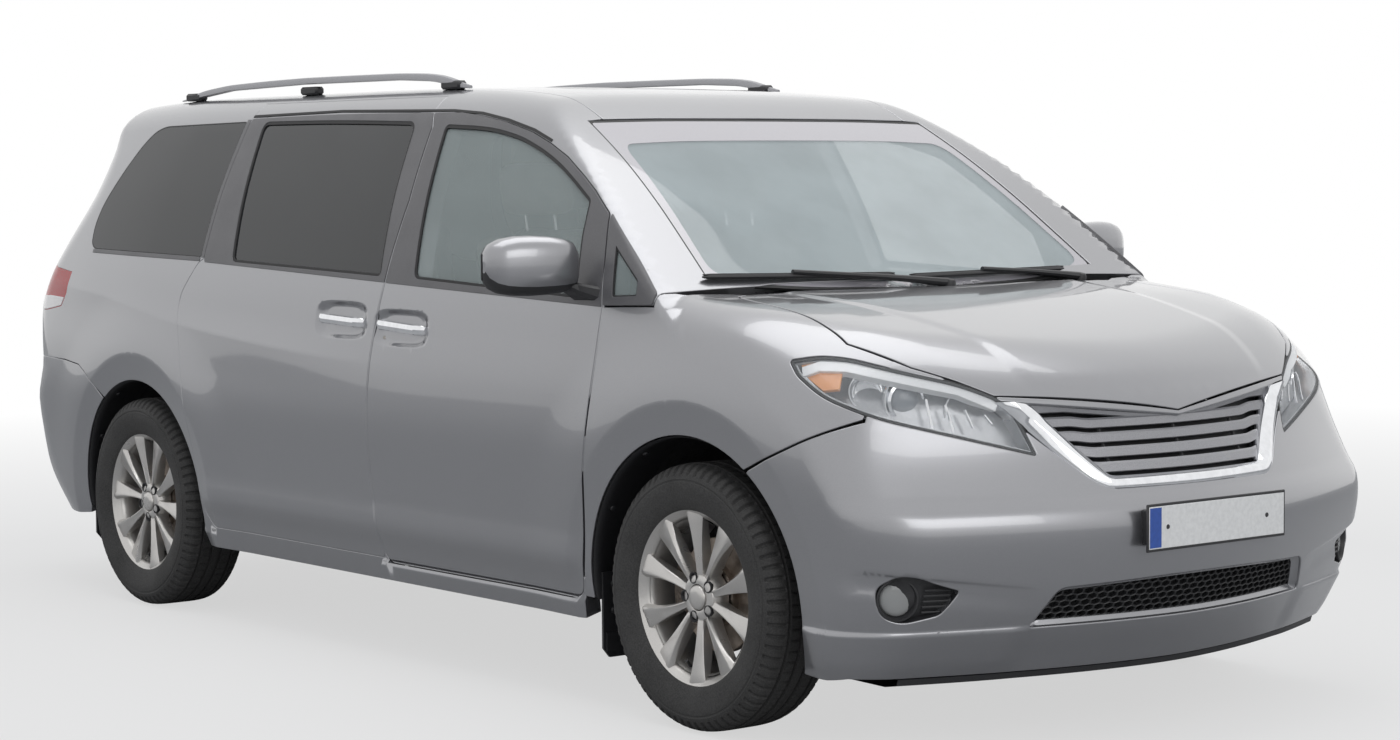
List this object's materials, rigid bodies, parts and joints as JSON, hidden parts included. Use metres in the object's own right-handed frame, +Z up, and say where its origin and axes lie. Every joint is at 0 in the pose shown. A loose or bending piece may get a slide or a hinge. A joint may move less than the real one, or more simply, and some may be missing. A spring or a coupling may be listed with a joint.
{
  "type": "minivan",
  "caption": "Full-size family minivan: hollow cabin with seats, hinged front doors, hood and tailgate, fixed sliding doors, steered front wheels and rolling road wheels.",
  "frame": {"origin": "on the ground under the middle of the car's length and width", "axes": "+X forward, +Y to the driver's left, +Z up"},
  "size_m": [5.0751, 2.4834, 1.8],
  "materials": {
    "body_paint": "silver metallic clear coat",
    "underbody": "black sealed steel",
    "bright_trim": "bright chrome",
    "lamp_lens": "clear polished lens",
    "clear_glass": "clear, faint green",
    "privacy_glass": "dark tinted",
    "red_lens": "red lens with a clear lower part",
    "black_plastic": "fine grained black",
    "grey_trim": "dark grey satin",
    "black_rubber": "matt",
    "cabin_plastic": "grained",
    "seat_fabric": "woven beige",
    "cast_metal": "as cast",
    "dull_steel": "dull",
    "tyre_rubber": "worn tread",
    "alloy": "silver lacquered"
  },
  "bodies": {
    "root": {"floor_pan": "underbody", "side_frame_left": "body_paint", "side_frame_right": "body_paint", "roof_panel": "body_paint", "front_fenders": "body_paint", "front_bumper": "body_paint", "grille": "bright_trim", "front_lamps": "lamp_lens", "windshield": "clear_glass", "cowl": "black_plastic", "sliding_door_left": "body_paint", "sliding_door_right": "body_paint", "side_glass": "privacy_glass", "rear_bumper": "body_paint", "tail_lights": "red_lens", "roof_rails": "grey_trim", "sunroof_glass": "privacy_glass", "mud_flaps": "black_rubber", "dashboard": "cabin_plastic", "captain_seats": "seat_fabric", "rear_bench": "seat_fabric", "engine_block": "cast_metal", "front_subframe": "underbody", "rear_axle": "underbody", "exhaust": "dull_steel"},
    "hood": {"hood": "body_paint"},
    "tailgate": {"tailgate": "body_paint", "tailgate_glass": "privacy_glass"},
    "front_door_left": {"front_door_left": "body_paint", "door_glass_left": "clear_glass", "mirror_left": "body_paint"},
    "front_door_right": {"front_door_right": "body_paint", "door_glass_right": "clear_glass", "mirror_right": "body_paint"},
    "knuckle_left": {"knuckle_left": "cast_metal"},
    "knuckle_right": {"knuckle_right": "cast_metal"},
    "steering_wheel": {"steering_wheel": "cabin_plastic"},
    "wheel_front_left": {"tyre_front_left": "tyre_rubber", "rim_front_left": "alloy"},
    "wheel_front_right": {"tyre_front_right": "tyre_rubber", "rim_front_right": "alloy"},
    "wheel_rear_left": {"tyre_rear_left": "tyre_rubber", "rim_rear_left": "alloy"},
    "wheel_rear_right": {"tyre_rear_right": "tyre_rubber", "rim_rear_right": "alloy"}
  },
  "joints": [
    {"name": "hood_hinge", "type": "hinge", "parent": "root", "child": "hood", "pos_m": [1.5, 0, 1.165], "axis": [0, -1, 0], "range_deg": [0, 50]},
    {"name": "tailgate_hinge", "type": "hinge", "parent": "root", "child": "tailgate", "pos_m": [-2.004, 0, 1.712], "axis": [0, 1, 0], "range_deg": [0, 82]},
    {"name": "door_left_hinge", "type": "hinge", "parent": "root", "child": "front_door_left", "pos_m": [1.16, 0.993, 0.7], "axis": [0, 0, -1], "range_deg": [0, 65]},
    {"name": "door_right_hinge", "type": "hinge", "parent": "root", "child": "front_door_right", "pos_m": [1.16, -0.993, 0.7], "axis": [0, 0, 1], "range_deg": [0, 65]},
    {"name": "steer_left", "type": "hinge", "parent": "root", "child": "knuckle_left", "pos_m": [1.571, 0.74, 0.357], "axis": [0, 0, 1], "range_deg": [-32, 32]},
    {"name": "steer_right", "type": "hinge", "parent": "root", "child": "knuckle_right", "pos_m": [1.571, -0.74, 0.357], "axis": [0, 0, 1], "range_deg": [-32, 32]},
    {"name": "steering_wheel_turn", "type": "hinge", "parent": "root", "child": "steering_wheel", "pos_m": [0.83, 0.4, 0.96], "axis": [-0.9061, 0, 0.423], "range_deg": [-460, 460]},
    {"name": "roll_front_left", "type": "hinge", "parent": "knuckle_left", "child": "wheel_front_left", "pos_m": [1.571, 0.86, 0.357], "axis": [0, 1, 0], "continuous": true},
    {"name": "roll_front_right", "type": "hinge", "parent": "knuckle_right", "child": "wheel_front_right", "pos_m": [1.571, -0.86, 0.357], "axis": [0, 1, 0], "continuous": true},
    {"name": "roll_rear_left", "type": "hinge", "parent": "root", "child": "wheel_rear_left", "pos_m": [-1.459, 0.86, 0.357], "axis": [0, 1, 0], "continuous": true},
    {"name": "roll_rear_right", "type": "hinge", "parent": "root", "child": "wheel_rear_right", "pos_m": [-1.459, -0.86, 0.357], "axis": [0, 1, 0], "continuous": true}
  ],
  "couplings": [
    {"joint": "steer_right", "follows": "steer_left", "ratio": 1},
    {"joint": "steering_wheel_turn", "follows": "steer_left", "ratio": 14}
  ]
}
